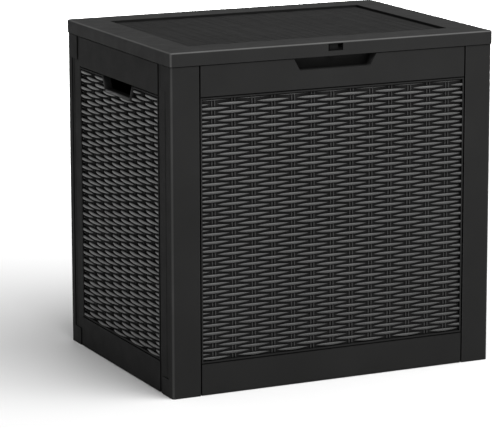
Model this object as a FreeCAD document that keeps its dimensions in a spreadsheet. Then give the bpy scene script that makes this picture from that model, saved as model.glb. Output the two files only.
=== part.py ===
"""Deck storage box: base, four woven wall panels, four corner posts and a hinged lid.

Frame: millimetres, +Z up, the front faces -Y, origin on the ground under the middle of the
bounding box. Sizes live in the spreadsheet "Sizes". Every sub-part is a PartDesign body made
of flat layers (sketch and pad) and recesses (sketch and pocket), bound to that spreadsheet.

Wall panels are drawn lying flat, outer face up at z = 0, width along X and height along Y,
and their placement stands them up. Hinge parts are drawn in profile, X outwards from the
hinge axis and Y upwards, and their placement turns them along the box.
"""
import FreeCAD
import Part
import os
import re
import Sketcher

SIZES = {
    # whole object
    "overall_width": 551.2,
    "overall_depth": 429.3,
    "overall_height": 530.9,
    "hinge_reach": 19.3,
    # lid shell
    "lid_overhang": 1.0,
    "skirt_height": 21.3,
    "skirt_wall": 3.0,
    "lid_skin": 2.5,
    "lid_border": 53.0,
    "field_sink": 4.0,
    "lid_corner": 4.0,
    "lid_edge": 3.0,
    "lock_width": 25.0,
    "lock_low": 7.4,
    "lock_high": 18.6,
    "boss_inset": 32.0,
    "boss": 4.5,
    # lid liner
    "liner_gap": 5.0,
    "liner_skin": 2.0,
    "liner_play": 0.3,
    "liner_notch": 23.0,
    "liner_bead": 1.5,
    "bead_gap": 8.0,
    # wall panels
    "skin": 3.0,
    "slab": 8.0,
    "seam": 2.5,
    "skirt_gap": 1.0,
    "lip_depth": 5.5,
    "lip_rise": 10.7,
    "panel_lift": 0.8,
    "rail_bottom": 50.0,
    "rail_top": 460.5,
    "groove": 2.0,
    "groove_depth": 2.5,
    "rim": 2.2,
    "rim_drop": 0.6,
    "field_depth": 5.0,
    "backing_rib": 2.5,
    "tongue": 24.0,
    "tongue_play": 0.3,
    "ledge_reach": 28.0,
    "ledge_low": 9.0,
    "edge_break": 0.7,
    # corner posts
    "post_face": 46.5,
    "post_corner": 4.5,
    "channel": 10.0,
    "inner_skin": 2.5,
    "post_step": 8.0,
    "post_band": 31.0,
    "recess_depth": 1.3,
    "recess_low": 28.0,
    "recess_high": 471.0,
    # hand holes in the side panels
    "hole_head": 58.0,
    "hole_foot": 48.0,
    "hole_height": 20.2,
    "hole_lip": 4.5,
    "hole_corner": 3.0,
    "collar": 4.0,
    # finger scoop in the front panel
    "scoop_head": 71.0,
    "scoop_foot": 60.0,
    "scoop_floor": 490.0,
    "scoop_depth": 20.0,
    "scoop_wall": 2.5,
    "scoop_corner": 4.0,
    # lock tab behind the skirt
    "tab_width": 15.0,
    "tab_front": 6.0,
    "tab_thick": 3.0,
    "tab_low": 507.8,
    "tab_high": 526.3,
    # base
    "base_clear": 16.0,
    "base_skin": 3.0,
    "upstand": 14.0,
    "base_rib": 2.5,
    "rib_inset": 30.0,
    "screw_inset": 23.5,
    # hinges
    "hinge_spread": 150.0,
    "hinge_width": 60.0,
    "hinge_rise": 1.9,
    "leaf": 2.5,
    "leaf_top": 18.9,
    "leaf_height": 41.0,
    "barrel": 8.0,
    "barrel_drop": 21.8,
    "knuckle": 18.0,
    "knuckle_gap": 0.5,
    "pin": 2.5,
    "pin_play": 0.08,
    "tooth_reach": 10.3,
    "tooth_play": 0.7,
    "stop_reach": 4.6,
    # fasteners
    "screw_head": 4.0,
    "screw_shank": 2.0,
    "head_height": 2.0,
    "base_screw": 10.0,
    "hinge_screw": 9.0,
    "lid_screw": 8.0,
    "liner_screw": 6.4,
    # worked out from the sizes above
    "lid_depth": "overall_depth - hinge_reach",
    "lid_back": "overall_depth/2 - hinge_reach",
    "lid_front": "-overall_depth/2",
    "box_centre": "(lid_back + lid_front)/2",
    "body_width": "overall_width - 2*lid_overhang",
    "body_depth": "lid_depth - 2*lid_overhang",
    "half_front": "body_width/2 - post_face - seam",
    "half_side": "body_depth/2 - post_face - seam",
    "skirt_low": "overall_height - skirt_height",
    "wall_top": "skirt_low - skirt_gap",
    "lip_top": "wall_top + lip_rise",
    "post_outer": "skin + channel + inner_skin",
    "hinge_line": "lid_back + hinge_reach - barrel",
    "hinge_level": "overall_height - barrel_drop",
    "liner_low": "lip_top + liner_play",
    "bead_half": "(overall_width/2 - boss_inset - 2*boss)/3",
}

doc = FreeCAD.newDocument("deck_storage_box")
sheet = doc.addObject("Spreadsheet::Sheet", "Sizes")


def fill_sheet():
    """One row per size: its name, then its number or formula, which carries the alias."""
    for row, (name, value) in enumerate(SIZES.items(), start=1):
        cell = "B%d" % row
        sheet.set("A%d" % row, name)
        sheet.set(cell, "=" + value if isinstance(value, str) else str(value))
        sheet.setAlias(cell, name)
    doc.recompute()


def bound(text):
    """Turn the size names in a formula into references to the spreadsheet."""
    return re.sub(r"[a-z][a-z_]+(?![a-z_(])", r"Sizes.\g<0>", str(text))


def value_of(text):
    return float(sheet.evalExpression(bound(text)))


# ---------------------------------------------------------------- sketch and layer helpers

def new_body(label):
    body = doc.addObject("PartDesign::Body", label)
    body.Label = label
    return body


def sketch_on(body, name, role, level):
    """A sketch parallel to one of the body's origin planes, moved along its normal."""
    plane = [item for item in body.Origin.OriginFeatures if item.Role == role][0]
    sketch = body.newObject("Sketcher::SketchObject", name)
    sketch.AttachmentSupport = [(plane, "")]
    sketch.MapMode = "FlatFace"
    sketch.AttachmentOffset = FreeCAD.Placement(
        FreeCAD.Vector(0, 0, value_of(level)), FreeCAD.Rotation())
    sketch.setExpression("AttachmentOffset.Base.z", bound(level))
    return sketch


def pin_point(sketch, line, end, x_text, y_text):
    """Fix one end of a line (or a circle's centre) at bound distances from the origin."""
    for kind, text in (("DistanceX", x_text), ("DistanceY", y_text)):
        index = sketch.addConstraint(
            Sketcher.Constraint(kind, -1, 1, line, end, value_of(text)))
        sketch.setExpression("Constraints[%d]" % index, bound(text))


def add_polygon(sketch, corners):
    """A closed outline through (x, y) corners, each given as two formulas."""
    places = [FreeCAD.Vector(value_of(x), value_of(y), 0) for x, y in corners]
    first = sketch.GeometryCount
    count = len(places)
    for i in range(count):
        sketch.addGeometry(Part.LineSegment(places[i], places[(i + 1) % count]), False)
    for i in range(count):
        sketch.addConstraint(
            Sketcher.Constraint("Coincident", first + i, 2, first + (i + 1) % count, 1))
    for i, (x, y) in enumerate(corners):
        pin_point(sketch, first + i, 1, x, y)


def add_circle(sketch, x, y, radius):
    centre = FreeCAD.Vector(value_of(x), value_of(y), 0)
    line = sketch.addGeometry(
        Part.Circle(centre, FreeCAD.Vector(0, 0, 1), value_of(radius)), False)
    pin_point(sketch, line, 3, x, y)
    index = sketch.addConstraint(Sketcher.Constraint("Radius", line, value_of(radius)))
    sketch.setExpression("Constraints[%d]" % index, bound(radius))


def box_corners(left, right, low, high):
    return [(left, low), (right, low), (right, high), (left, high)]


def draw(sketch, shapes):
    """Shapes are lists of corners, or (x, y, radius) circles."""
    for shape in shapes:
        if isinstance(shape, tuple):
            add_circle(sketch, *shape)
        else:
            add_polygon(sketch, shape)


def layer(body, name, low, high, shapes, role="XY_Plane"):
    """Add material between two levels along the normal of an origin plane."""
    sketch = sketch_on(body, name + "_outline", role, low)
    draw(sketch, shapes)
    pad = body.newObject("PartDesign::Pad", name)
    pad.Profile = sketch
    pad.Length = value_of("(%s) - (%s)" % (high, low))
    pad.setExpression("Length", bound("(%s) - (%s)" % (high, low)))
    body.Tip = pad
    doc.recompute()


def recess(body, name, low, high, shapes, role="XY_Plane"):
    """Cut material away between two levels, and make sure that something was cut."""
    before = body.Shape.Volume
    sketch = sketch_on(body, name + "_outline", role, high)
    draw(sketch, shapes)
    pocket = body.newObject("PartDesign::Pocket", name)
    pocket.Profile = sketch
    pocket.Length = value_of("(%s) - (%s)" % (high, low))
    pocket.setExpression("Length", bound("(%s) - (%s)" % (high, low)))
    body.Tip = pocket
    doc.recompute()
    if body.Shape.Volume > before - 1e-3:
        raise RuntimeError(body.Label + ": " + name + " cuts nothing")


def round_edges(body, name, radius, wanted):
    """Round every edge of the body that the test picks."""
    base = body.Tip
    names = ["Edge%d" % (i + 1) for i, edge in enumerate(base.Shape.Edges) if wanted(edge)]
    if not names:
        raise RuntimeError(body.Label + ": " + name + " finds no edge")
    fillet = body.newObject("PartDesign::Fillet", name)
    fillet.Base = (base, names)
    fillet.Radius = value_of(radius)
    fillet.setExpression("Radius", bound(radius))
    body.Tip = fillet
    doc.recompute()


def near(a, b):
    return abs(a - b) < 1e-3


def rises(edge):
    """True for a straight edge along the body's Z axis."""
    if len(edge.Vertexes) != 2:
        return False
    step = edge.Vertexes[1].Point - edge.Vertexes[0].Point
    return near(step.x, 0) and near(step.y, 0)


def rises_at(edge, x, y):
    """True for an edge along Z that passes through (x, y)."""
    point = edge.Vertexes[0].Point
    return rises(edge) and near(point.x, x) and near(point.y, y)


def lies_at(edge, z):
    return all(near(corner.Point.z, z) for corner in edge.Vertexes)


def stand(body, x, y, z, rotation):
    """Place a body; the three distances stay bound to the spreadsheet."""
    body.Placement = FreeCAD.Placement(
        FreeCAD.Vector(value_of(x), value_of(y), value_of(z)), rotation)
    for axis, text in (("x", x), ("y", y), ("z", z)):
        body.setExpression(".Placement.Base." + axis, bound(text))


def turned(degrees):
    return FreeCAD.Rotation(FreeCAD.Vector(0, 0, 1), degrees)


def upright(degrees):
    """Stand a flat panel up with its outer face to the front, then turn it about Z."""
    return turned(degrees).multiply(FreeCAD.Rotation(FreeCAD.Vector(1, 0, 0), 90))


# ---------------------------------------------------------------- wall panels

WALLS = {
    # label: half width of the visible panel, turn about Z, x and y of its outer face
    "front_panel": ("half_front", 0, "0", "box_centre - body_depth/2"),
    "back_panel": ("half_front", 180, "0", "box_centre + body_depth/2"),
    "left_panel": ("half_side", -90, "-body_width/2", "box_centre"),
    "right_panel": ("half_side", 90, "body_width/2", "box_centre"),
}
HOLLOWS_WIDE = 6
HOLLOWS_NARROW = 4


def hollows(half, count, low, high, solid):
    """Hollows behind a rail between ribs; `solid` lists (middle, half width) left thick."""
    pitch = "2*(%s - backing_rib)/%d" % (half, count)
    shapes = []
    for i in range(count):
        left = "backing_rib - %s + %d*%s" % (half, i, pitch)
        right = "%s + %s - backing_rib" % (left, pitch)
        clear = [value_of(right) < middle - room or value_of(left) > middle + room
                 for middle, room in solid]
        if all(clear):
            shapes.append(box_corners(left, right, low, high))
    return shapes


def hand_hole_outline(grow):
    """The hand hole's four corners, widened by the given size."""
    low = "rail_top - hole_height - %s" % grow
    return [("-hole_foot - %s" % grow, low), ("hole_foot + %s" % grow, low),
            ("hole_head + %s" % grow, "rail_top + %s" % grow),
            ("-hole_head - %s" % grow, "rail_top + %s" % grow)]


def field_around_hand_hole(half):
    """The woven field's outline, leaving a lip round the hand hole."""
    top = "rail_top - groove/2 - rim"
    low = "rail_top - hole_height - hole_lip"
    return [("rim - %s" % half, "rail_bottom + groove/2 + rim"),
            ("%s - rim" % half, "rail_bottom + groove/2 + rim"),
            ("%s - rim" % half, top), ("hole_head + hole_lip", top),
            ("hole_foot + hole_lip", low), ("-hole_foot - hole_lip", low),
            ("-hole_head - hole_lip", top), ("rim - %s" % half, top)]


def scoop_outline(grow, top):
    """The finger scoop's four corners, widened by `grow`, with slanted ends up to `top`."""
    slant = "(scoop_head - scoop_foot)/(skirt_low - scoop_floor)"
    reach = "scoop_foot + %s + %s*(%s - scoop_floor)" % (grow, slant, top)
    return [("-scoop_foot - %s" % grow, "scoop_floor - %s" % grow),
            ("scoop_foot + %s" % grow, "scoop_floor - %s" % grow),
            (reach, top), ("-(%s)" % reach, top)]


def plain_slab(body, half):
    """The panel's slab with softened outer corners, and the lip that keeps rain out."""
    layer(body, "slab_layer", "-slab", "0",
          [box_corners("-%s" % half, half, "panel_lift", "wall_top")])
    round_edges(body, "soft_sides", "edge_break", lambda edge: lies_at(edge, 0))
    layer(body, "rain_lip", "-slab", "-lip_depth",
          [box_corners("-%s" % half, half, "wall_top - slab", "lip_top")])


def tongues(body, half):
    """Flat tongues with a rib along each tip, which slide into the posts' channels."""
    flats = []
    ribs = []
    for side in (-1, 1):
        root = "%d*(%s - backing_rib)" % (side, half)
        tip = "%d*(%s + seam + tongue)" % (side, half)
        rib = "%d*(%s + seam + tongue - backing_rib)" % (side, half)
        top = "wall_top - 2*inner_skin"
        flats.append(box_corners(root, tip, "panel_lift", top))
        ribs.append(box_corners(rib, tip, "panel_lift", top))
    layer(body, "tongue_flats", "-slab", "-field_depth", flats)
    layer(body, "tongue_ribs", "tongue_play - skin - channel", "-skin - tongue_play", ribs)


def rail_backs(body, half, count, solid):
    recess(body, "top_rail_back", "-slab", "-skin",
           hollows(half, count, "rail_top + groove/2 + backing_rib",
                   "wall_top - backing_rib", solid))
    recess(body, "bottom_rail_back", "-slab", "-skin",
           hollows(half, count, "ledge_low + base_skin + backing_rib",
                   "rail_bottom - groove/2 - backing_rib", []))


def hand_hole(body):
    layer(body, "hole_collar", "-slab - collar", "-slab", [hand_hole_outline("backing_rib")])
    recess(body, "hole_cut", "-slab - collar", "0", [hand_hole_outline("0")])
    foot = value_of("hole_foot")
    low = value_of("rail_top - hole_height")
    round_edges(body, "hole_corners", "hole_corner",
                lambda edge: rises_at(edge, foot, low) or rises_at(edge, -foot, low))


def finger_scoop(body):
    """A pocket behind the top rail, open upwards, that lets fingers under the lid's skirt."""
    layer(body, "scoop_box", "-scoop_depth - scoop_wall", "-lip_depth",
          [scoop_outline("scoop_wall", "lip_top")])
    recess(body, "scoop_cut", "-scoop_depth", "0", [scoop_outline("0", "(lip_top + skin)")])
    foot = value_of("scoop_foot")
    low = value_of("scoop_floor")
    round_edges(body, "scoop_corners", "scoop_corner",
                lambda edge: rises_at(edge, foot, low) or rises_at(edge, -foot, low))


def wall_panel(label, count, holed=False, scooped=False, hinged=False):
    """One wall: plain rails above and below a sunken field, tongues and a base ledge."""
    half, turn, x, y = WALLS[label]
    body = new_body(label)
    solid = []
    if scooped:
        solid = [(0.0, value_of("scoop_head + 2*scoop_wall"))]
    if hinged:
        solid = [(side * value_of("hinge_spread"), value_of("hinge_width/2"))
                 for side in (-1, 1)]
    plain_slab(body, half)
    rail_backs(body, half, count, solid)
    tongues(body, half)
    field = box_corners("rim - %s" % half, "%s - rim" % half,
                        "rail_bottom + groove/2 + rim", "rail_top - groove/2 - rim")
    if holed:
        hand_hole(body)
        field = field_around_hand_hole(half)
    recess(body, "woven_field", "-field_depth", "0", [field])
    recess(body, "rail_grooves", "-groove_depth", "0",
           [box_corners("-%s" % half, half, "%s - groove/2" % level, "%s + groove/2" % level)
            for level in ("rail_bottom", "rail_top")])
    recess(body, "rim_step", "-rim_drop", "0",
           [box_corners("-%s" % half, half, "rail_bottom + groove/2", "rail_top - groove/2")])
    layer(body, "base_ledge", "-ledge_reach", "-skin",
          [box_corners("backing_rib - %s" % half, "%s - backing_rib" % half,
                       "ledge_low", "ledge_low + base_skin")])
    if scooped:
        finger_scoop(body)
    stand(body, x, y, "0", upright(turn))


# ---------------------------------------------------------------- corner posts

POSTS = {
    # label: hand (which way its front face runs from the corner), turn, corner x and y
    "corner_post_front_left": (1, 0, "-body_width/2", "box_centre - body_depth/2"),
    "corner_post_front_right": (-1, 0, "body_width/2", "box_centre - body_depth/2"),
    "corner_post_rear_left": (-1, 180, "-body_width/2", "box_centre + body_depth/2"),
    "corner_post_rear_right": (1, 180, "body_width/2", "box_centre + body_depth/2"),
}


def handed(hand, corners):
    return [("%d*(%s)" % (hand, x), y) for x, y in corners]


def corner_post(label):
    """An L of two skins joined at a square tube, leaving a channel for each panel's tongue."""
    hand, turn, x, y = POSTS[label]
    body = new_body(label)
    face = "post_face"
    rear = "skin + channel"
    angle = [("0", "0"), (face, "0"), (face, "skin"), ("post_outer", "skin"),
             ("post_outer", rear), (face, rear), (face, "post_outer"),
             ("post_outer", "post_outer"), ("post_outer", face), (rear, face),
             (rear, "post_outer"), ("skin", "post_outer"), ("skin", face), ("0", face)]
    layer(body, "angle", "0", "wall_top", [handed(hand, angle)])
    round_edges(body, "soft_corner", "post_corner", lambda edge: rises_at(edge, 0, 0))
    edge_x = hand * value_of(face)
    round_edges(body, "soft_edge", "edge_break", lambda edge: rises_at(edge, edge_x, 0))
    recess(body, "corner_tube", "0", "wall_top",
           [handed(hand, box_corners("skin", rear, "skin", rear))])
    cap = [("skin/2", "skin/2"), (face, "skin/2"), (face, "post_outer"),
           ("post_outer", "post_outer"), ("post_outer", face), ("skin/2", face)]
    layer(body, "top_cap", "wall_top - inner_skin", "wall_top", [handed(hand, cap)])
    lip = [("lip_depth", "lip_depth"), (face, "lip_depth"), (face, "slab"),
           ("slab", "slab"), ("slab", face), ("lip_depth", face)]
    layer(body, "rain_lip", "wall_top - inner_skin", "lip_top", [handed(hand, lip)])
    layer(body, "base_ledge", "ledge_low", "ledge_low + base_skin",
          [handed(hand, box_corners(rear, "ledge_reach", rear, "ledge_reach"))])
    recess(body, "side_strip", "0", "wall_top",
           [handed(hand, box_corners("0", "recess_depth", "post_face - post_step", face))])
    recess(body, "side_recess", "recess_low", "recess_high",
           [handed(hand, box_corners("0", "recess_depth", "post_face - post_band", face))])
    stand(body, x, y, "0", turned(turn))


# ---------------------------------------------------------------- base

RIBS_ACROSS = 5
RIBS_ALONG = 3
BASE_SCREW_SPOTS = [
    # share of half the width, share of half the depth
    (-0.5, -1), (0, -1), (0.5, -1), (-0.5, 1), (0, 1), (0.5, 1),
    (-1, -0.4), (-1, 0.4), (1, -0.4), (1, 0.4), (-1, -1), (1, -1), (-1, 1), (1, 1),
]


def base_screw_places():
    """Formulas for the screws round the base, all the same distance in from the walls."""
    return [("%s*(body_width/2 - screw_inset)" % across,
             "box_centre + %s*(body_depth/2 - screw_inset)" % along)
            for across, along in BASE_SCREW_SPOTS]


def ring(inset, thickness):
    """Two nested rectangles, set in from the body's outer faces."""
    loops = []
    for gap in (inset, "%s + %s" % (inset, thickness)):
        loops.append(box_corners("-body_width/2 + %s" % gap, "body_width/2 - (%s)" % gap,
                                 "box_centre - body_depth/2 + %s" % gap,
                                 "box_centre + body_depth/2 - (%s)" % gap))
    return loops


def base_panel():
    """The floor plate on its ribs, with a low upstand inside the walls."""
    body = new_body("base_panel")
    plate = ring("base_clear", "0")[0]
    layer(body, "plate", "ledge_low + base_skin", "ledge_low + 2*base_skin", [plate])
    layer(body, "upstand", "ledge_low + 2*base_skin", "ledge_low + 2*base_skin + upstand",
          ring("base_clear", "base_rib"))
    layer(body, "foot_ring", "0", "ledge_low + base_skin", ring("rib_inset", "base_rib"))
    span_x = "(body_width - 2*rib_inset)"
    span_y = "(body_depth - 2*rib_inset)"
    for i in range(1, RIBS_ACROSS + 1):
        middle = "%s*(%d/%d - 0.5)" % (span_x, i, RIBS_ACROSS + 1)
        layer(body, "cross_rib_%d" % i, "0", "ledge_low + base_skin",
              [box_corners("%s - base_rib/2" % middle, "%s + base_rib/2" % middle,
                           "box_centre - %s/2" % span_y, "box_centre + %s/2" % span_y)])
    for i in range(1, RIBS_ALONG + 1):
        middle = "box_centre + %s*(%d/%d - 0.5)" % (span_y, i, RIBS_ALONG + 1)
        layer(body, "long_rib_%d" % i, "0", "ledge_low + base_skin",
              [box_corners("-%s/2" % span_x, "%s/2" % span_x,
                           "%s - base_rib/2" % middle, "%s + base_rib/2" % middle)])
    recess(body, "screw_holes", "ledge_low + base_skin", "ledge_low + 2*base_skin",
           [(x, y, "screw_shank") for x, y in base_screw_places()])
    stand(body, "0", "0", "0", turned(0))


# ---------------------------------------------------------------- lid

LINER_SCREW_SPOTS = [
    # share of half the width, share of half the depth
    (-1, -1), (-0.4, -1), (0.4, -1), (1, -1), (-1, 0), (1, 0), (-1, 1), (0, 1), (1, 1),
]
LINER_RIBS = (-0.8, -0.4, 0, 0.4, 0.8)


def lid_frame(inset):
    """A rectangle set in from the lid's outline."""
    return box_corners("-overall_width/2 + %s" % inset, "overall_width/2 - (%s)" % inset,
                       "lid_front + %s" % inset, "lid_back - (%s)" % inset)


def liner_screw_places():
    return [("%s*(overall_width/2 - boss_inset)" % across,
             "box_centre + %s*(lid_depth/2 - boss_inset)" % along)
            for across, along in LINER_SCREW_SPOTS]


def lid_shell():
    """The lid's outer shell: raised border, sunken field, skirt with the lock window."""
    body = new_body("lid_shell")
    top = "overall_height"
    field_low = "overall_height - field_sink"
    layer(body, "block", "skirt_low", top, [lid_frame("0")])
    round_edges(body, "soft_corners", "lid_corner", rises)
    top_level = value_of(top)
    round_edges(body, "soft_top", "lid_edge", lambda edge: lies_at(edge, top_level))
    recess(body, "sunken_field", field_low, top, [lid_frame("lid_border")])
    recess(body, "hollow_below", "skirt_low", "%s - lid_skin" % field_low,
           [lid_frame("skirt_wall")])
    recess(body, "hollow_border", "%s - lid_skin" % field_low, "%s - lid_skin" % top,
           [lid_frame("skirt_wall"), lid_frame("lid_border - lid_skin")])
    recess(body, "lock_window", "-lid_front - 2*skirt_wall", "-lid_front",
           [box_corners("-lock_width/2", "lock_width/2",
                        "skirt_low + lock_low", "skirt_low + lock_high")], role="XZ_Plane")
    layer(body, "screw_bosses", "liner_low + liner_skin", "%s - lid_skin/2" % top,
          [(x, y, "boss") for x, y in liner_screw_places()])
    back = "lid_back - skirt_wall"
    layer(body, "hinge_backing", "hinge_level + hinge_rise", "%s - lid_skin/2" % top,
          [box_corners("%d*hinge_spread - hinge_width/2" % side,
                       "%d*hinge_spread + hinge_width/2" % side, "%s - skirt_wall" % back,
                       "%s + lid_skin/2" % back) for side in (-1, 1)])
    stand(body, "0", "0", "0", turned(0))


def lid_liner():
    """The inner panel that closes the lid from below, notched round the lock tab."""
    body = new_body("lid_liner")
    edge = "skirt_wall + liner_gap"
    front = "lid_front + %s" % edge
    notch = "lid_front + liner_notch"
    side = "overall_width/2 - (%s)" % edge
    outline = [("-(%s)" % side, front), ("-1.5*lock_width/2", front), ("-1.5*lock_width/2", notch),
               ("1.5*lock_width/2", notch), ("1.5*lock_width/2", front), (side, front),
               (side, "lid_back - (%s)" % edge), ("-(%s)" % side, "lid_back - (%s)" % edge)]
    layer(body, "sheet", "liner_low", "liner_low + liner_skin", [outline])
    rib_top = "overall_height - field_sink - lid_skin"
    reach_x = "(overall_width/2 - lid_border)"
    reach_y = "(lid_depth/2 - lid_border)"
    for i, share in enumerate(LINER_RIBS):
        middle = "%s*%s" % (share, reach_x)
        layer(body, "rib_%d" % i, "liner_low + liner_skin", rib_top,
              [box_corners("%s - liner_skin/2" % middle, "%s + liner_skin/2" % middle,
                           "box_centre - %s" % reach_y, "box_centre + %s" % reach_y)])
    for i in (-1, 0, 1):
        middle = "%d*2*bead_half" % i
        layer(body, "stiff_field_%d" % (i + 1), "liner_low - liner_bead", "liner_low",
              [box_corners("%s - bead_half + bead_gap" % middle,
                           "%s + bead_half - bead_gap" % middle,
                           "lid_front + boss_inset + 2*boss", "lid_back - boss_inset - 2*boss")])
    recess(body, "screw_holes", "liner_low", "liner_low + liner_skin",
           [(x, y, "screw_shank") for x, y in liner_screw_places()])
    stand(body, "0", "0", "0", turned(0))


def lock_tab():
    """The upright bar behind the lock window, on a shelf from the scoop's back wall."""
    body = new_body("lock_tab")
    face = "(box_centre - body_depth/2)"
    near_y = "%s + tab_front" % face
    far_y = "%s + scoop_depth" % face
    sides = ("-tab_width/2", "tab_width/2")
    layer(body, "shelf", "tab_low", "tab_low + tab_thick", [box_corners(*sides, near_y, far_y)])
    layer(body, "bar", "tab_low", "tab_high",
          [box_corners(*sides, near_y, "%s + tab_thick" % near_y)])
    layer(body, "foot", "tab_low", "lip_top - tab_thick/2",
          [box_corners(*sides, "%s - tab_thick" % far_y, far_y)])
    stand(body, "0", "0", "0", turned(0))


# ---------------------------------------------------------------- hinges

ALONG_AXIS = FreeCAD.Rotation(FreeCAD.Vector(1, 1, 1), 120)
HINGES = {"left": -1, "right": 1}
SCREW_ROW = (-0.7, 0, 0.7)


def round_point(radius, degrees):
    return ("%s*cos(%s)" % (radius, degrees), "%s*sin(%s)" % (radius, degrees))


def hang(body, side):
    stand(body, "%d*hinge_spread" % side, "hinge_line", "hinge_level", ALONG_AXIS)


def leaf_screw_holes(body, low, high, level):
    """Three holes through a leaf, level with `level` over the hinge axis."""
    recess(body, "screw_holes", low, high,
           [(level, "%s*hinge_width/2" % share, "screw_shank") for share in SCREW_ROW],
           role="YZ_Plane")


def hinge_bracket(name, side):
    """The fixed half: a leaf on the back wall, two knuckles and the rib that stops the lid."""
    body = new_body("hinge_bracket_" + name)
    inner = "(lid_back - lid_overhang - hinge_line)"
    outer = "(%s + leaf)" % inner
    end = "hinge_width/2"
    layer(body, "leaf_plate", "-%s" % end, end,
          [box_corners(inner, outer, "-leaf_height", "-leaf/2")])
    web = [(outer, "-3*barrel"), round_point("barrel", "-45"), ("0", "0"), ("-barrel", "0"),
           (outer, "-leaf/2")]
    for label, low, high in (("low", "-%s" % end, "knuckle - %s" % end),
                             ("high", "%s - knuckle" % end, end)):
        layer(body, "web_" + label, low, high, [web])
        layer(body, "knuckle_" + label, low, high, [("0", "0", "barrel")])
    stop_high = "-barrel - tooth_play"
    layer(body, "stop_rib", "knuckle - %s" % end, "%s - knuckle" % end,
          [box_corners(outer, "stop_reach", "%s - skin" % stop_high, stop_high)])
    recess(body, "pin_bore", "-%s" % end, end, [("0", "0", "pin")])
    leaf_screw_holes(body, inner, outer, "-leaf_height*0.8")
    hang(body, side)


def lid_hinge(name, side):
    """The moving half: a leaf on the lid's skirt, one knuckle and its stop tooth."""
    body = new_body("lid_hinge_" + name)
    inner = "(lid_back - hinge_line)"
    outer = "(%s + leaf)" % inner
    end = "hinge_width/2"
    low = "knuckle + knuckle_gap - %s" % end
    high = "%s - knuckle - knuckle_gap" % end
    layer(body, "leaf_plate", "-%s" % end, end,
          [box_corners(inner, outer, "hinge_rise", "leaf_top")])
    web = [(outer, "hinge_rise"), ("-barrel", "0"), ("0", "0"), ("0", "barrel"),
           (outer, "leaf_top - 2*screw_head - leaf")]
    layer(body, "web", low, high, [web])
    layer(body, "knuckle_middle", low, high, [("0", "0", "barrel")])
    tooth = [round_point("(barrel - skin)", "55"), round_point("tooth_reach", "55"),
             round_point("tooth_reach", "40"), round_point("(barrel - skin)", "40")]
    layer(body, "stop_tooth", low, high, [tooth])
    recess(body, "pin_bore", low, high, [("0", "0", "pin + pin_play")])
    leaf_screw_holes(body, inner, outer, "leaf_top - screw_head - leaf/2")
    hang(body, side)


def hinge_pin(name, side):
    """A headed pin pressed into the outer knuckles; its head is at the box's outer side."""
    body = new_body("hinge_pin_" + name)
    end = "hinge_width/2"
    layer(body, "shaft", "-%s" % end, end, [("0", "0", "pin")])
    low, high = ("-%s - head_height" % end, "-%s" % end)
    if side > 0:
        low, high = (end, "%s + head_height" % end)
    layer(body, "head", low, high, [("0", "0", "screw_head")])
    hang(body, side)


# ---------------------------------------------------------------- fasteners

def cylinder(name, radius, height, place, text):
    """A cylinder whose size and place are bound; `text` holds the three place formulas."""
    item = doc.addObject("Part::Cylinder", name)
    item.Radius = value_of(radius)
    item.Height = value_of(height)
    item.setExpression("Radius", bound(radius))
    item.setExpression("Height", bound(height))
    item.Placement = place
    for axis, formula in zip("xyz", text):
        item.setExpression(".Placement.Base." + axis, bound(formula))
    return item


def screw(name, length, spot, way):
    """A pan-head screw: `spot` is under its head, `way` is the direction it points."""
    turn = FreeCAD.Rotation(FreeCAD.Vector(0, 0, 1), FreeCAD.Vector(*way))
    point = FreeCAD.Vector(*[value_of(text) for text in spot])
    shank = cylinder(name + "_shank", "screw_shank", length, FreeCAD.Placement(point, turn), spot)
    back = ["%s - (%d)*head_height" % (text, step) for text, step in zip(spot, way)]
    start = FreeCAD.Vector(*[value_of(text) for text in back])
    head = cylinder(name + "_head", "screw_head", "head_height",
                    FreeCAD.Placement(start, turn), back)
    whole = doc.addObject("Part::Fuse", name)
    whole.Base = head
    whole.Tool = shank
    return whole


def screw_group(label, length, spots, way):
    """All screws of one kind, as separate solids of one node."""
    group = doc.addObject("Part::Compound", label)
    group.Label = label
    group.Links = [screw("%s_%d" % (label, i), length, spot, way)
                   for i, spot in enumerate(spots)]
    doc.recompute()


def hinge_screw_spots(y, z):
    return [("%d*hinge_spread + %s*hinge_width/2" % (side, share), y, z)
            for side in HINGES.values() for share in SCREW_ROW]


def fasteners():
    screw_group("base_screws", "base_screw",
                [(x, y, "ledge_low + 2*base_skin") for x, y in base_screw_places()], (0, 0, -1))
    screw_group("hinge_bracket_screws", "hinge_screw",
                hinge_screw_spots("lid_back - lid_overhang + leaf",
                                  "hinge_level - leaf_height*0.8"), (0, -1, 0))
    screw_group("lid_hinge_screws", "lid_screw",
                hinge_screw_spots("lid_back + leaf",
                                  "hinge_level + leaf_top - screw_head - leaf/2"), (0, -1, 0))
    screw_group("liner_screws", "liner_screw",
                [(x, y, "liner_low") for x, y in liner_screw_places()], (0, 0, 1))


# ---------------------------------------------------------------- build, check and export

SUB_PARTS = (
    ["base_panel"] + list(WALLS) + list(POSTS) + ["lock_tab", "lid_shell", "lid_liner"]
    + [kind + name for kind in ("hinge_bracket_", "lid_hinge_", "hinge_pin_") for name in HINGES]
    + ["base_screws", "hinge_bracket_screws", "lid_hinge_screws", "liner_screws"]
)


def build():
    fill_sheet()
    base_panel()
    wall_panel("front_panel", HOLLOWS_WIDE, scooped=True)
    wall_panel("back_panel", HOLLOWS_WIDE, hinged=True)
    wall_panel("left_panel", HOLLOWS_NARROW, holed=True)
    wall_panel("right_panel", HOLLOWS_NARROW, holed=True)
    for label in POSTS:
        corner_post(label)
    lock_tab()
    lid_shell()
    lid_liner()
    for name, side in HINGES.items():
        hinge_bracket(name, side)
        lid_hinge(name, side)
        hinge_pin(name, side)
    fasteners()
    doc.recompute()


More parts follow.
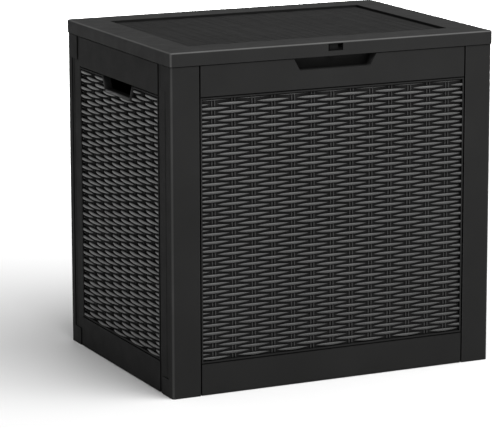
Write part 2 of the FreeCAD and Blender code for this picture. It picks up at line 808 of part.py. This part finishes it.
def check():
    for item in doc.Objects:
        if "Invalid" in item.State or "Error" in item.State:
            raise RuntimeError(item.Label + ": " + ", ".join(item.State))
    for label in SUB_PARTS:
        shape = doc.getObjectsByLabel(label)[0].Shape
        if shape.isNull() or not shape.isValid():
            raise RuntimeError(label + ": shape is null or not valid")


def export():
    os.makedirs("parts", exist_ok=True)
    for label in SUB_PARTS:
        shape = doc.getObjectsByLabel(label)[0].Shape
        shape.exportStep("parts/%s.step" % label)
        box = shape.BoundBox
        print("%-26s solids %2d  x %8.2f %8.2f  y %8.2f %8.2f  z %8.2f %8.2f" % (
            label, len(shape.Solids), box.XMin, box.XMax, box.YMin, box.YMax, box.ZMin, box.ZMax))


build()
check()
export()
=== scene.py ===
"""Looks of the deck storage box: its woven fields, its moulded resin and steel, the studio and the camera."""

import math

import bpy
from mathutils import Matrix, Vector


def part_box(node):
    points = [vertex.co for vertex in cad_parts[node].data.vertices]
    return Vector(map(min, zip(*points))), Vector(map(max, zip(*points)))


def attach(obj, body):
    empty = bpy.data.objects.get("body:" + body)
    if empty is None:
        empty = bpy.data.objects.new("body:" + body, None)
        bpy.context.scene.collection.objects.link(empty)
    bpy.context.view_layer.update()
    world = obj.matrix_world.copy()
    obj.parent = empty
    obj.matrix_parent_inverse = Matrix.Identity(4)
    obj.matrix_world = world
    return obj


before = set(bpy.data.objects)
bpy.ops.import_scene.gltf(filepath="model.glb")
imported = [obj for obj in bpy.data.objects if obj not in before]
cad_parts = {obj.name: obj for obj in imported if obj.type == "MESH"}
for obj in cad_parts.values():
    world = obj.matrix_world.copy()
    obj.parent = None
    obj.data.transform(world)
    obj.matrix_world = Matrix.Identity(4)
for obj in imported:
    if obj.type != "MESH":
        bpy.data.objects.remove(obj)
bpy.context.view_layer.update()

# ---------------------------------------------------------------- sizes shared with the CAD model, in metres
POST_FACE = 0.0465  # width of a corner post's face
SEAM = 0.0025  # dark joint between a post and a panel
RAIL_LOW = 0.050  # middle of the groove under a woven field
RAIL_HIGH = 0.4605  # middle of the groove over it
GROOVE = 0.002
RIM = 0.0022  # raised rim inside the groove
FIELD_DEPTH = 0.005  # from a wall's outer face in to the floor of its woven field
LID_BORDER = 0.053
LID_SINK = 0.004
HOLE_HEAD = 0.058  # half width of a hand hole at its top
HOLE_FOOT = 0.048  # half width at its bottom
HOLE_HEIGHT = 0.0202
HOLE_LIP = 0.0045

# ---------------------------------------------------------------- the weave, in metres
STAKE_PITCH = 0.0334
ROW_PITCH = 0.00642
ROOT = 0.0006  # how far a strand or stake runs on into whatever ends it
SINK = 0.001  # how far the underside of the weave sits in the field's floor
LEAN = 0.2  # share of its half length by which a strand is fullest left of its middle
TAPER = 1.35  # power by which a strand loses height faster than depth towards its ends
RIB_OFFSET = 0.0024  # from the middle of a stake to the middle of each of its ribs
RIB_HALF_WIDTH = 0.00125
RIB_DIP = 0.22  # share of its rise by which a rib swings out and is pressed in, row by row
BAR_RISE = 0.0011  # half thickness of the bars round a hand hole
BAR_SINK = 0.0006  # how far the middle of a bar lies inside the wall's outer face

X = Vector((1, 0, 0))
Y = Vector((0, 1, 0))
Z = Vector((0, 0, 1))


class Weave:
    """The size and shape of one kind of weaving."""

    def __init__(self, first_stake, first_row, first_size, rise, sway, half_length, half_height, half_depth,
                 rib_rise=0.0, short=0.0):
        self.first_stake = first_stake  # from the field's left edge, seen from outside
        self.first_row = first_row  # from the field's top edge down to the middle of its first strand
        self.first_size = first_size  # of the strands in the first row, where 1 is full size
        self.rise = rise  # height of a strand's mean line over the floor
        self.sway = sway  # how far the strand swings out over a stake and in behind the next
        self.half_length = half_length  # of the part of a strand that stands proud
        self.half_height = half_height
        self.half_depth = half_depth
        self.rib_rise = rib_rise
        self.short = short  # how far every other row stops short of the field's ends


FRONT_WEAVE = Weave(first_stake=0.0197, first_row=0.0022, first_size=0.45, rise=0.0016, sway=0.0012,
                    half_length=0.0268, half_height=0.00225, half_depth=0.0018, rib_rise=0.0019)
SIDE_WEAVE = Weave(first_stake=0.0110, first_row=0.0045, first_size=1.0, rise=0.0018, sway=0.0009,
                   half_length=0.0268, half_height=0.0025, half_depth=0.0016, rib_rise=0.0016)
LID_WEAVE = Weave(first_stake=0.0197, first_row=0.0022, first_size=1.0, rise=0.0002, sway=0.00005,
                  half_length=0.0310, half_height=0.0037, half_depth=0.00018, short=0.0055)


class Field:
    """A woven rectangle: a centre on its floor, and directions along, across and out of its rows."""

    def __init__(self, name, weave, centre, along, across, half_along, half_across, hole=None):
        self.name = name
        self.weave = weave
        self.centre = centre
        self.along = along
        self.across = across
        self.out = along.cross(across)
        self.half_along = half_along
        self.half_across = half_across
        self.hole = hole  # top and bottom of a hand hole, measured across the rows

    def place(self, along, across, out):
        """The point at three distances from the centre."""
        return self.centre + self.along * along + self.across * across + self.out * out

    def stakes(self):
        """Middles of the stakes, from the left edge on."""
        count = int((2 * self.half_along - self.weave.first_stake) / STAKE_PITCH) + 1
        first = self.weave.first_stake - self.half_along
        return [first + STAKE_PITCH * k for k in range(count)]

    def rows(self):
        """Middles of the rows, from the top edge down."""
        count = int((2 * self.half_across - self.weave.first_row) / ROW_PITCH) + 1
        first = self.half_across - self.weave.first_row
        return [first - ROW_PITCH * k for k in range(count)]


def body_faces():
    """Outer faces of the four walls: left and right x, front and back y."""
    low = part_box("corner_post_front_left")[0]
    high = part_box("corner_post_rear_right")[1]
    return low[0], high[0], low[1], high[1]


LEFT_X, RIGHT_X, FRONT_Y, BACK_Y = body_faces()
MIDDLE_Y = (FRONT_Y + BACK_Y) / 2
HALF_DEPTH = (BACK_Y - FRONT_Y) / 2


def wall_fields():
    """The woven fields of the front, back, left and right walls."""
    low = RAIL_LOW + GROOVE / 2 + RIM
    high = RAIL_HIGH - GROOVE / 2 - RIM
    middle = (low + high) / 2
    half_rise = (high - low) / 2
    half_front = RIGHT_X - POST_FACE - SEAM - RIM
    half_side = HALF_DEPTH - POST_FACE - SEAM - RIM
    hole = (RAIL_HIGH - middle, RAIL_HIGH - HOLE_HEIGHT - middle)
    front = Vector((0, FRONT_Y + FIELD_DEPTH, middle))
    back = Vector((0, BACK_Y - FIELD_DEPTH, middle))
    left = Vector((LEFT_X + FIELD_DEPTH, MIDDLE_Y, middle))
    right = Vector((RIGHT_X - FIELD_DEPTH, MIDDLE_Y, middle))
    return (
        Field("front", FRONT_WEAVE, front, X, Z, half_front, half_rise),
        Field("back", FRONT_WEAVE, back, -X, Z, half_front, half_rise),
        Field("left", SIDE_WEAVE, left, -Y, Z, half_side, half_rise, hole),
        Field("right", SIDE_WEAVE, right, Y, Z, half_side, half_rise, hole),
    )


def lid_field():
    """The lid's sunk field."""
    low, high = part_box("lid_shell")
    centre = Vector(((low[0] + high[0]) / 2, (low[1] + high[1]) / 2, high[2] - LID_SINK))
    half_width = (high[0] - low[0]) / 2 - LID_BORDER
    half_depth = (high[1] - low[1]) / 2 - LID_BORDER
    return Field("lid", LID_WEAVE, centre, X, Y, half_width, half_depth)


# ---------------------------------------------------------------- meshes
def tube(verts, faces, rings):
    """Adds a closed tube through rings of points. Every ring has the same number of points."""
    start = len(verts)
    count = len(rings[0])
    for ring in rings:
        verts.extend(ring)
    for r in range(len(rings) - 1):
        base = start + r * count
        for i in range(count):
            j = (i + 1) % count
            faces.append((base + i, base + j, base + count + j, base + count + i))
    last = start + (len(rings) - 1) * count
    faces.append(tuple(start + i for i in reversed(range(count))))
    faces.append(tuple(last + i for i in range(count)))


def swell(field, middle, row, low, high, size):
    """Rings of the part of a strand that swells out over one stake, cut off at low and high."""
    weave = field.weave
    sections = 14
    sides = 10
    blunt = 0.995  # of the half length, where the strand stops narrowing
    first = max(low, middle - weave.half_length)
    last = min(high, middle + weave.half_length)
    if last - first < ROOT * 4:
        return []
    rings = []
    for s in range(sections + 1):
        # sections gather towards the ends, where the strand narrows fastest
        share = 0.5 - 0.5 * math.cos(math.pi * s / sections)
        along = first + (last - first) * share
        offset = (along - middle) / weave.half_length + LEAN
        reach = min(abs(offset) / (1 + math.copysign(LEAN, offset)), blunt)
        slim = math.sqrt(1 - reach * reach)
        half_height = weave.half_height * size * slim ** TAPER
        half_depth = weave.half_depth * size * slim
        core = weave.rise + weave.sway * math.cos(math.pi * (along - middle) / STAKE_PITCH)
        ring = []
        for i in range(sides):
            turn = 2 * math.pi * i / sides
            out = core * size + half_depth * math.sin(turn)
            ring.append(field.place(along, row + half_height * math.cos(turn), max(out, -SINK)))
        rings.append(ring)
    return rings


def woven_parts(field, row, short):
    """Stretches of a row that are woven, as (low, high) along it."""
    edge = field.half_along + ROOT - short
    if field.hole is None:
        return [(-edge, edge)]
    top, bottom = field.hole
    if row < bottom - HOLE_LIP:
        return [(-edge, edge)]
    share = min(max((row - bottom) / (top - bottom), 0.0), 1.0)
    half = HOLE_FOOT + (HOLE_HEAD - HOLE_FOOT) * share + HOLE_LIP - ROOT
    return [(-edge, -half), (half, edge)]


def swell_middles(weave, middle, low, high):
    """Middles of the swells that reach into low..high. They are two stakes apart. middle is one of them."""
    step = 2 * STAKE_PITCH
    while middle - weave.half_length > low:
        middle -= step
    middles = []
    while middle - weave.half_length < high:
        middles.append(middle)
        middle += step
    return middles


def strands(field):
    """The strands of a field. They swell over every other stake, from the first or second, row by row."""
    weave = field.weave
    starts = field.stakes()[:2]
    verts = []
    faces = []
    for k, row in enumerate(field.rows()):
        size = 1.0 if k else weave.first_size
        for low, high in woven_parts(field, row, weave.short * (k % 2)):
            for middle in swell_middles(weave, starts[k % 2], low, high):
                rings = swell(field, middle, row, low, high, size)
                if rings:
                    tube(verts, faces, rings)
    return verts, faces


def rib(field, at, phase, high, verts, faces):
    """One rib of a stake. It rises where the strand passes behind it and is pressed in where one crosses."""
    low = -field.half_across - ROOT
    first_row = field.rows()[0]
    steps = max(2, round((high - low) / (ROW_PITCH / 3)))
    arch = 5
    foot = SINK * 0.2
    rings = []
    for s in range(steps + 1):
        across = low + (high - low) * s / steps
        press = math.cos(math.pi * ((first_row - across) / ROW_PITCH + phase))
        top = field.weave.rib_rise * (1 - RIB_DIP * press)
        ring = []
        for i in range(arch + 1):
            turn = math.pi * i / arch
            beside = at + RIB_HALF_WIDTH * math.cos(turn)
            ring.append(field.place(beside, across, top * math.sin(turn) - foot))
        ring.append(field.place(at - RIB_HALF_WIDTH, across, -SINK))
        ring.append(field.place(at + RIB_HALF_WIDTH, across, -SINK))
        rings.append(ring)
    tube(verts, faces, rings)


def stakes(field):
    """Pairs of upright ribs, cut short under a hand hole."""
    verts = []
    faces = []
    for k, middle in enumerate(field.stakes()):
        for side in (-1, 1):
            at = middle + side * RIB_OFFSET
            high = field.half_across + ROOT
            if field.hole is not None and abs(at) < HOLE_HEAD + HOLE_LIP:
                high = field.hole[1] - HOLE_LIP + ROOT
            rib(field, at, k % 2, high, verts, faces)
    return verts, faces


def bar(field, start, end, half_width, verts, faces):
    """A round-topped bar between two points of a field, level with the wall's outer face."""
    sides = 12
    run = Vector((end[0] - start[0], end[1] - start[1])).normalized()
    rings = []
    for along, across in (start, end):
        ring = []
        for i in range(sides):
            turn = 2 * math.pi * i / sides
            off = half_width * math.cos(turn)
            out = FIELD_DEPTH - BAR_SINK + BAR_RISE * math.sin(turn)
            ring.append(field.place(along - run.y * off, across + run.x * off, out))
        rings.append(ring)
    tube(verts, faces, rings)


def hole_rim(field):
    """The rolled foot and thin sides round a hand hole."""
    top, bottom = field.hole
    play = 0.0001  # between the foot and either edge of the lip
    thin = 0.0004
    foot = HOLE_LIP / 2
    verts = []
    faces = []
    bar(field, (-HOLE_FOOT, bottom - foot), (HOLE_FOOT, bottom - foot), foot - play, verts, faces)
    for side in (-1, 1):
        low = (side * (HOLE_FOOT + thin), bottom - foot)
        high = (side * (HOLE_HEAD + thin), top)
        bar(field, low, high, thin, verts, faces)
    return verts, faces


def make_piece(name, shape, material, body):
    """A smooth-shaded mesh piece that rides on a body."""
    verts, faces = shape
    mesh = bpy.data.meshes.new(name)
    mesh.from_pydata([tuple(v) for v in verts], [], faces)
    mesh.validate()
    mesh.polygons.foreach_set("use_smooth", [True] * len(mesh.polygons))
    mesh.materials.append(material)
    piece = bpy.data.objects.new(name, mesh)
    bpy.context.scene.collection.objects.link(piece)
    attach(piece, body)


# ---------------------------------------------------------------- material building blocks
CLOUDS = 9.0  # these six are how many of each fit in a metre
SCUFFS = 38.0
BLOTCHES = 400.0
PEBBLES = 1400.0
FLECKS = 1500.0
FLOOR_CLOUDS = 3.0
PEBBLE_DEPTH = 0.00006
STREAK_DEPTH = 0.0002
TURNING_DEPTH = 0.00005
STEP_HALF = 0.0011  # half width of the painted shade line along a post's step
STEP_FADE = 0.0024  # from its middle to where it has faded out
GROUND_SHADE_TOP = 0.48  # height at which the painted shade towards the ground ends
SHADE_TONE = 0.1  # of the unshaded tone, where the painted shade is full


def give(tree, socket, value):
    """Links an output to a socket, or sets the socket to a number or colour."""
    if isinstance(value, bpy.types.NodeSocket):
        tree.links.new(value, socket)
    else:
        socket.default_value = value


def node(tree, kind, **inputs):
    """A shader node with its inputs given."""
    made = tree.nodes.new(kind)
    for name, value in inputs.items():
        give(tree, made.inputs[name], value)
    return made


def material_tree(name):
    """An empty material, its tree, its Principled shader and the object's own coordinates."""
    material = bpy.data.materials.new(name)
    material.use_nodes = True
    tree = material.node_tree
    tree.nodes.clear()
    shader = tree.nodes.new("ShaderNodeBsdfPrincipled")
    output = tree.nodes.new("ShaderNodeOutputMaterial")
    tree.links.new(shader.outputs["BSDF"], output.inputs["Surface"])
    place = tree.nodes.new("ShaderNodeTexCoord").outputs["Object"]
    return material, tree, shader, place


def noise(tree, place, scale, detail=2.0, roughness=0.5):
    """A cloudy value."""
    made = node(tree, "ShaderNodeTexNoise", Vector=place, Scale=scale, Detail=detail, Roughness=roughness)
    return made.outputs["Fac"]


def lines(tree, place, scale, detail):
    """A noise drawn out into lines, along whichever axis has the smallest scale."""
    stretch = node(tree, "ShaderNodeMapping", Vector=place, Scale=scale)
    return noise(tree, stretch.outputs["Vector"], 1.0, detail)


def spread(tree, value, low, high, start=0.3, end=0.7):
    """Maps a value from start..end, which noise mostly stays within, onto low..high."""
    made = tree.nodes.new("ShaderNodeMapRange")
    give(tree, made.inputs["Value"], value)
    made.inputs["From Min"].default_value = start
    made.inputs["From Max"].default_value = end
    made.inputs["To Min"].default_value = low
    made.inputs["To Max"].default_value = high
    return made.outputs["Result"]


def math_node(tree, operation, *values):
    """The result of a sum on numbers or outputs."""
    made = tree.nodes.new("ShaderNodeMath")
    made.operation = operation
    for socket, value in zip(made.inputs, values):
        give(tree, socket, value)
    return made.outputs["Value"]


def mixed(tree, strength, first, second):
    """A colour between two, which are colours or outputs."""
    made = tree.nodes.new("ShaderNodeMix")
    made.data_type = "RGBA"
    give(tree, made.inputs["Factor"], strength)
    give(tree, made.inputs["A"], first)
    give(tree, made.inputs["B"], second)
    return made.outputs["Result"]


def scaled(tone, factor):
    """A tone made lighter or darker, as a colour to set."""
    return (*[c * factor for c in tone], 1)


def step_shade_line(tree, place, inset, low, high):
    """Painted shade along an upright step line between two heights, inset from the front and back faces. It
    is 0 beside the line.
    """
    parts = node(tree, "ShaderNodeSeparateXYZ", Vector=place).outputs
    from_middle = math_node(tree, "ABSOLUTE", math_node(tree, "SUBTRACT", parts["Y"], MIDDLE_Y))
    off = math_node(tree, "ABSOLUTE", math_node(tree, "SUBTRACT", from_middle, HALF_DEPTH - inset))
    line = spread(tree, off, 0.9, 0.0, STEP_HALF, STEP_FADE)
    above = math_node(tree, "GREATER_THAN", parts["Z"], low)
    below = math_node(tree, "LESS_THAN", parts["Z"], high)
    return math_node(tree, "MULTIPLY", line, math_node(tree, "MULTIPLY", above, below))


def edge_mask(tree):
    """1 where the surface turns over a rounded edge and 0 on faces square to the object's axes."""
    normal = tree.nodes.new("ShaderNodeTexCoord").outputs["Normal"]
    parts = node(tree, "ShaderNodeSeparateXYZ", Vector=normal).outputs
    sizes = [math_node(tree, "ABSOLUTE", part) for part in parts]
    most = math_node(tree, "MAXIMUM", math_node(tree, "MAXIMUM", sizes[0], sizes[1]), sizes[2])
    return spread(tree, most, 0.0, 1.0, 0.99, 0.88)


def unshaded_colour(tree, place, tone, edge_highlight):
    """Clouds and flecks round a tone, and a painted highlight on rounded edges where edge_highlight is given.
    """
    cloud = spread(tree, noise(tree, place, CLOUDS, 3.0), 0.0, 1.0)
    fleck = spread(tree, noise(tree, place, FLECKS, 1.0), 0.0, 1.0)
    shade = math_node(tree, "MULTIPLY_ADD", fleck, 0.4, math_node(tree, "MULTIPLY", cloud, 0.6))
    unshaded = mixed(tree, shade, scaled(tone, 0.86), scaled(tone, 1.14))
    if not edge_highlight:
        return unshaded
    # painted highlight along rounded edges, lighter towards edge_highlight times the tone
    painted_highlight = math_node(tree, "MULTIPLY", edge_mask(tree), spread(tree, cloud, 0.8, 1.0))
    return mixed(tree, painted_highlight, unshaded, scaled(tone, edge_highlight))


def painted_shade(tree, place, hollow_shade, reach, low, step_shade_lines):
    """How much painted shade there is: in hollows narrower than reach, towards the ground, and along step
    lines.
    """
    # ambient occlusion, made into painted shade in hollows and seams
    open_air = node(tree, "ShaderNodeAmbientOcclusion", Distance=reach).outputs["AO"]
    in_hollows = spread(tree, open_air, hollow_shade, 0.0, 0.45, 0.97)
    # painted shade: darker towards the ground, up to GROUND_SHADE_TOP
    height = node(tree, "ShaderNodeSeparateXYZ", Vector=place).outputs["Z"]
    shade_amount = math_node(tree, "MAXIMUM", in_hollows, spread(tree, height, low, 0.0, 0.0, GROUND_SHADE_TOP))
    # painted shade along the posts' step lines
    for inset, foot, head in step_shade_lines:
        shade_amount = math_node(tree, "MAXIMUM", shade_amount, step_shade_line(tree, place, inset, foot, head))
    return shade_amount


def skin(tree, place, grain, streaks):
    """The normal of a fine pebbled skin, under drawn streaks where there are any."""
    pebble = node(tree, "ShaderNodeTexVoronoi", Vector=place, Scale=PEBBLES).outputs["Distance"]
    pebbled = node(tree, "ShaderNodeBump", Strength=grain, Distance=PEBBLE_DEPTH, Height=pebble)
    normal = pebbled.outputs["Normal"]
    if streaks is None:
        return normal
    streak = lines(tree, place, streaks, 2.0)
    drawn = node(tree, "ShaderNodeBump", Strength=0.4, Distance=STREAK_DEPTH, Height=streak, Normal=normal)
    return drawn.outputs["Normal"]


def resin(name, tone, gloss, shine=0.15, grain=0.35, streaks=None, hollow_shade=0.9, reach=0.012, low=0.25,
          edge_highlight=0.0, step_shade_lines=()):
    """Moulded resin: clouded colour, a fine pebbled skin, uneven gloss, painted shade and a painted edge
    highlight.

    hollow_shade is how dark the painted shade gets in the most closed-in places, reach is how far off the
    walls of a recess can stand, low is how much painted shade there is at the ground, and edge_highlight is
    how pale the painted highlight on rounded edges is.
    """
    material, tree, shader, place = material_tree(name)
    unshaded = unshaded_colour(tree, place, tone, edge_highlight)
    # the colour is darkened towards SHADE_TONE by the painted shade
    shade_amount = painted_shade(tree, place, hollow_shade, reach, low, step_shade_lines)
    tree.links.new(mixed(tree, shade_amount, unshaded, scaled(tone, SHADE_TONE)), shader.inputs["Base Color"])
    scuff = spread(tree, noise(tree, place, SCUFFS, 4.0, 0.6), gloss - 0.05, gloss + 0.06)
    tree.links.new(scuff, shader.inputs["Roughness"])
    tree.links.new(skin(tree, place, grain, streaks), shader.inputs["Normal"])
    shader.inputs["Specular IOR Level"].default_value = shine
    return material


def steel(name, tone, gloss, grain_scale):
    """Zinc-plated steel with fine turned or drawn lines."""
    material, tree, shader, place = material_tree(name)
    line = lines(tree, place, grain_scale, 3.0)
    colour = mixed(tree, spread(tree, line, 0.0, 1.0), scaled(tone, 0.8), scaled(tone, 1.1))
    tree.links.new(colour, shader.inputs["Base Color"])
    dull = spread(tree, noise(tree, place, BLOTCHES), gloss - 0.08, gloss + 0.1)
    tree.links.new(dull, shader.inputs["Roughness"])
    turned = node(tree, "ShaderNodeBump", Strength=0.3, Distance=TURNING_DEPTH, Height=line)
    tree.links.new(turned.outputs["Normal"], shader.inputs["Normal"])
    shader.inputs["Metallic"].default_value = 1.0
    return material


def charcoal(factor):
    """The box's own charcoal, made lighter or darker."""
    return [c * factor for c in (0.0150, 0.0150, 0.0148)]


def paint(material, names):
    """Gives CAD nodes a material, whose name the node's slots take over."""
    for name in names:
        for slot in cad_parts[name].material_slots:
            slot.material = material


# ---------------------------------------------------------------- materials
RAILS = (250.0, 2200.0, 2200.0)  # strands of the front and back run along X
SIDE_RAILS = (2200.0, 250.0, 2200.0)  # strands of the sides run along Y
PIN_LINES = (2500.0, 60.0, 2500.0)
SCREW_LINES = (900.0, 900.0, 900.0)
POST_STEP_SHADES = ((0.0235, 0.028, 0.470), (0.0385, 0.474, 0.52))  # painted shade lines along a post's steps: inset, foot, head

# hollow_shade, low and step_shade_lines paint shade into these colours; edge_highlight paints a highlight on
# rounded edges
wall_resin = resin("wall_resin", charcoal(1.2), 0.62, shine=0.05, hollow_shade=0.6, edge_highlight=1.8)
post_resin = resin("post_resin", charcoal(1.18), 0.62, shine=0.05, hollow_shade=0.95, reach=0.004, edge_highlight=3.2,
                   step_shade_lines=POST_STEP_SHADES)
lid_resin = resin("lid_resin", charcoal(1.15), 0.58, shine=0.1, edge_highlight=5.0)
liner_resin = resin("liner_resin", charcoal(1.1), 0.6, grain=0.2)
base_resin = resin("base_resin", charcoal(0.9), 0.6, grain=0.25)
tab_resin = resin("tab_resin", charcoal(0.6), 0.5, grain=0.2)
hinge_resin = resin("hinge_resin", charcoal(0.8), 0.45, shine=0.3, grain=0.2)
# the strands are painted lighter than the rails to stand in for the light they catch, and the sides' copy
# twice as light again as painted light for their dimmer lighting; low darkens their lower part as painted
# shade
woven_front = resin("woven_painted_light", charcoal(4.6), 0.42, shine=0.36, grain=0.15, streaks=RAILS,
                    low=0.55)
woven_side = resin("woven_side_painted_light", charcoal(9.2), 0.42, shine=0.5, grain=0.15, streaks=SIDE_RAILS,
                   low=0.3)
# the lid's weave is a little darker than the lid: painted shade of its sunk field
woven_lid = resin("woven_lid_resin", charcoal(1.0), 0.6, shine=0.07, grain=0.15, hollow_shade=0.0)
# stakes: a lighter copy in front as painted light and a darker copy on the sides as painted shade
stake_painted_light = resin("stake_painted_light", charcoal(3.0), 0.5, shine=0.3, grain=0.15)
side_stake_painted_shade = resin("side_stake_painted_shade", charcoal(0.5), 0.5, shine=0.1, grain=0.15)
# the rolled foot of a hand hole is painted lighter than the wall, standing in for the light it catches
rolled_painted_light = resin("rolled_painted_light", charcoal(3.4), 0.5, shine=0.3, grain=0.15)
pin_steel = steel("pin_steel", (0.42, 0.42, 0.43), 0.32, PIN_LINES)
screw_steel = steel("screw_steel", (0.36, 0.36, 0.37), 0.36, SCREW_LINES)

POSTS = [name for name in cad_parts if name.startswith("corner_post")]
SCREWS = [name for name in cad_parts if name.endswith("screws")]
HINGES = [f"{leaf}_{side}" for leaf in ("hinge_bracket", "lid_hinge") for side in ("left", "right")]

paint(wall_resin, ("front_panel", "back_panel", "left_panel", "right_panel"))
paint(post_resin, POSTS)
paint(lid_resin, ("lid_shell",))
paint(liner_resin, ("lid_liner",))
paint(base_resin, ("base_panel",))
paint(tab_resin, ("lock_tab",))
paint(hinge_resin, HINGES)
paint(pin_steel, ("hinge_pin_left", "hinge_pin_right"))
paint(screw_steel, SCREWS)


# ---------------------------------------------------------------- woven fields
def weave_wall(field, strand_resin, rib_resin):
    """The strands and stakes of a wall's field."""
    make_piece(f"weave_{field.name}", strands(field), strand_resin, "box")
    make_piece(f"stakes_{field.name}", stakes(field), rib_resin, "box")


front, back, left, right = wall_fields()
for wall in (front, back):
    weave_wall(wall, woven_front, stake_painted_light)
for wall in (left, right):
    weave_wall(wall, woven_side, side_stake_painted_shade)
    make_piece(f"hole_rim_{wall.name}", hole_rim(wall), rolled_painted_light, "box")
make_piece("weave_lid", strands(lid_field()), woven_lid, "lid")


# ---------------------------------------------------------------- studio
def floor(size, tone):
    """A plain pale floor that reaches size from its middle."""
    material, tree, shader, place = material_tree("studio_floor")
    pale = spread(tree, noise(tree, place, FLOOR_CLOUDS), 0.0, 1.0)
    grey = (tone, tone, tone)
    tree.links.new(mixed(tree, pale, scaled(grey, 0.985), scaled(grey, 1.0)), shader.inputs["Base Color"])
    shader.inputs["Roughness"].default_value = 0.9
    shader.inputs["Specular IOR Level"].default_value = 0.1
    mesh = bpy.data.meshes.new("studio_floor")
    corners = [(-size, -size, 0), (size, -size, 0), (size, size, 0), (-size, size, 0)]
    mesh.from_pydata(corners, [], [(0, 1, 2, 3)])
    mesh.materials.append(material)
    made = bpy.data.objects.new("studio_floor", mesh)
    bpy.context.scene.collection.objects.link(made)


def surround(level):
    """An even grey studio around the object."""
    world = bpy.data.worlds.new("studio")
    world.use_nodes = True
    backdrop = world.node_tree.nodes["Background"]
    backdrop.inputs["Color"].default_value = (level, level, level, 1)
    bpy.context.scene.world = world


def softbox(name, place, aim, width, depth, watts, beam=180):
    """A rectangular soft light at a place, facing aim. beam is how wide it shines, in degrees."""
    light = bpy.data.lights.new(name, "AREA")
    light.shape = "RECTANGLE"
    light.size = width
    light.size_y = depth
    light.energy = watts
    light.spread = math.radians(beam)
    lamp = bpy.data.objects.new(name, light)
    lamp.location = place
    lamp.rotation_euler = (Vector(aim) - Vector(place)).to_track_quat("-Z", "Y").to_euler()
    bpy.context.scene.collection.objects.link(lamp)


def camera(place, azimuth, elevation, lens, shift):
    """A camera at a place that looks along azimuth and down by elevation, in degrees."""
    data = bpy.data.cameras.new("camera")
    data.lens = lens
    data.sensor_width = 36.0
    data.shift_x, data.shift_y = shift
    data.clip_start = 0.1
    data.clip_end = 50.0
    made = bpy.data.objects.new("camera", data)
    turn = math.radians(azimuth)
    tilt = math.radians(elevation)
    ahead = Vector((-math.sin(turn) * math.cos(tilt), math.cos(turn) * math.cos(tilt), -math.sin(tilt)))
    made.location = place
    made.rotation_euler = ahead.to_track_quat("-Z", "Y").to_euler()
    bpy.context.scene.collection.objects.link(made)
    bpy.context.scene.camera = made


floor(size=14.0, tone=0.78)
surround(level=0.33)
softbox("key", place=(1.2, -2.4, 4.0), aim=(0.2, -0.4, 0), width=5.0, depth=5.0, watts=380.0)
softbox("far_floor_light", place=(2.2, 4.3, 4.0), aim=(2.2, 4.3, 0), width=4.0, depth=4.6, watts=300.0,
        beam=75)
camera(place=(-1.9266, -3.9624, 1.1534), azimuth=-25.989, elevation=11.647, lens=201.44,
       shift=(-0.054, -0.028))
bpy.context.scene.view_settings.view_transform = "Standard"
